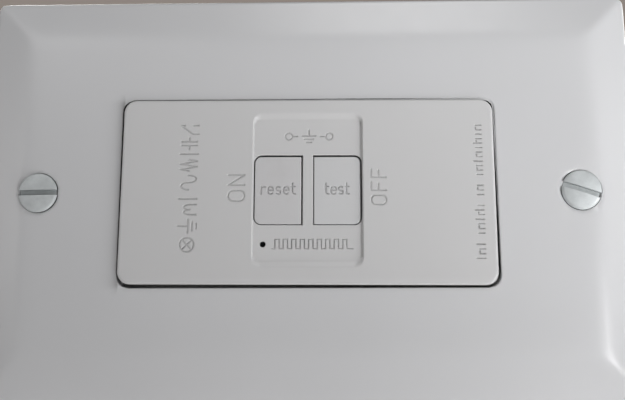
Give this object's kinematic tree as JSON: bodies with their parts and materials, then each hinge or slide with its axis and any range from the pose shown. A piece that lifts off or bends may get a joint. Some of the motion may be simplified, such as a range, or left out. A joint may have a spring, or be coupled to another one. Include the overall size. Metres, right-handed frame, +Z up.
{
  "type": "ground-fault switch with wall plate",
  "caption": "Blank-face ground-fault switch for a one-gang wall box, with reset and test buttons in a recess, decorator wall plate, strap, screws and full inner mechanism.",
  "frame": {"origin": "centre of the device on the wall's surface, midway between the two box screws", "axes": "+X along the long side, +Y into the wall, +Z up, so the face with the buttons looks along -Y"},
  "size_m": [0.119, 0.0336, 0.0746],
  "materials": {
    "white_plastic": "satin moulded thermoplastic",
    "button_plastic": "satin moulded thermoplastic",
    "zinc_steel": "zinc-plated steel",
    "green_steel": "green dyed zinc plating",
    "brass": "bare rolled brass",
    "nickel": "nickel-plated brass",
    "silver_contact": "silver alloy",
    "grey_plastic": "moulded polycarbonate",
    "ivory_plastic": "moulded nylon",
    "black_plastic": "moulded thermoset",
    "clear_plastic": "dark tinted acrylic",
    "fibre": "pressed fibre board",
    "board_green": "solder-masked glass fibre",
    "copper_winding": "enamelled copper wire",
    "ferrite": "sintered ferrite",
    "spring_steel": "drawn spring wire",
    "bronze": "rolled phosphor bronze",
    "blue_ceramic": "dipped epoxy",
    "capacitor_sleeve": "shrunk sleeve",
    "yellow_film": "boxed film",
    "resistor_body": "lacquered carbon film",
    "lamp_lens": "tinted epoxy"
  },
  "bodies": {
    "device": {"box_screws": "zinc_steel", "capacitors": "capacitor_sleeve", "carrier_springs": "spring_steel", "case_screws": "zinc_steel", "circuit_board": "board_green", "control_chip": "black_plastic", "film_capacitor": "yellow_film", "fixed_contacts": "silver_contact", "front_cover": "white_plastic", "hot_bus": "brass", "lamp": "lamp_lens", "latch_spring": "spring_steel", "light_pipe": "clear_plastic", "line_hot_bar": "brass", "line_neutral_bar": "nickel", "load_hot_bar": "brass", "load_neutral_bar": "nickel", "mounting_strap": "zinc_steel", "neutral_bus": "nickel", "plunger_spring": "spring_steel", "rear_housing": "grey_plastic", "reset_spring": "spring_steel", "resistors": "resistor_body", "screw_retainers": "fibre", "separator": "grey_plastic", "solenoid_bobbin": "ivory_plastic", "solenoid_coil": "copper_winding", "solenoid_frame": "zinc_steel", "test_blade_pin": "spring_steel", "test_post": "bronze", "test_spring": "spring_steel", "thyristor": "black_plastic", "toroid_cores": "ferrite", "transformer_case": "black_plastic", "varistor": "blue_ceramic", "wall_plate": "white_plastic", "wall_plate_screws": "zinc_steel"},
    "reset_actuator": {"reset_button": "button_plastic", "reset_pin": "spring_steel"},
    "test_actuator": {"test_button": "button_plastic"},
    "test_contact": {"test_blade": "bronze"},
    "carrier": {"contact_carrier": "ivory_plastic", "contact_bridges": "bronze", "moving_contacts": "silver_contact"},
    "latch": {"latch_plate": "spring_steel"},
    "plunger": {"solenoid_plunger": "spring_steel"},
    "line_hot_terminal": {"line_hot_clamp": "zinc_steel", "line_hot_screw": "brass"},
    "line_neutral_terminal": {"line_neutral_clamp": "zinc_steel", "line_neutral_screw": "nickel"},
    "load_hot_terminal": {"load_hot_clamp": "zinc_steel", "load_hot_screw": "brass"},
    "load_neutral_terminal": {"load_neutral_clamp": "zinc_steel", "load_neutral_screw": "nickel"},
    "ground_terminal": {"ground_screw": "green_steel"}
  },
  "joints": [
    {"name": "reset_press", "type": "slide", "parent": "device", "child": "reset_actuator", "axis": [0, 1, 0], "range_m": [-0.0012, 0.002], "stiffness_N_per_m": 400, "deforming": ["reset_spring"]},
    {"name": "test_press", "type": "slide", "parent": "device", "child": "test_actuator", "axis": [0, 1, 0], "range_m": [0, 0.0018], "stiffness_N_per_m": 400, "deforming": ["test_spring"]},
    {"name": "test_blade_flex", "type": "hinge", "parent": "device", "child": "test_contact", "pos_m": [0.0153, 0.0031, 0.00013], "axis": [0, 0, -1], "range_deg": [0, 10.4]},
    {"name": "carrier_travel", "type": "slide", "parent": "device", "child": "carrier", "axis": [0, 1, 0], "range_m": [0, 0.0015], "stiffness_N_per_m": 600, "deforming": ["carrier_springs"]},
    {"name": "latch_release", "type": "slide", "parent": "carrier", "child": "latch", "axis": [-1, 0, 0], "range_m": [0, 0.002], "deforming": ["latch_spring"]},
    {"name": "plunger_stroke", "type": "slide", "parent": "device", "child": "plunger", "axis": [-1, 0, 0], "range_m": [0, 0.002], "stiffness_N_per_m": 200, "deforming": ["plunger_spring"]},
    {"name": "line_hot_clamping", "type": "slide", "parent": "device", "child": "line_hot_terminal", "axis": [0, 0, 1], "range_m": [0, 0.0025]},
    {"name": "line_neutral_clamping", "type": "slide", "parent": "device", "child": "line_neutral_terminal", "axis": [0, 0, -1], "range_m": [0, 0.0025]},
    {"name": "load_hot_clamping", "type": "slide", "parent": "device", "child": "load_hot_terminal", "axis": [0, 0, 1], "range_m": [0, 0.0025]},
    {"name": "load_neutral_clamping", "type": "slide", "parent": "device", "child": "load_neutral_terminal", "axis": [0, 0, -1], "range_m": [0, 0.0025]},
    {"name": "ground_clamping", "type": "slide", "parent": "device", "child": "ground_terminal", "axis": [0, 0, -1], "range_m": [0, 0.0025]}
  ],
  "couplings": [
    {"joint": "test_blade_flex", "follows": "test_press", "rad_per_m": 100},
    {"joint": "latch_release", "follows": "plunger_stroke", "ratio": 1}
  ]
}
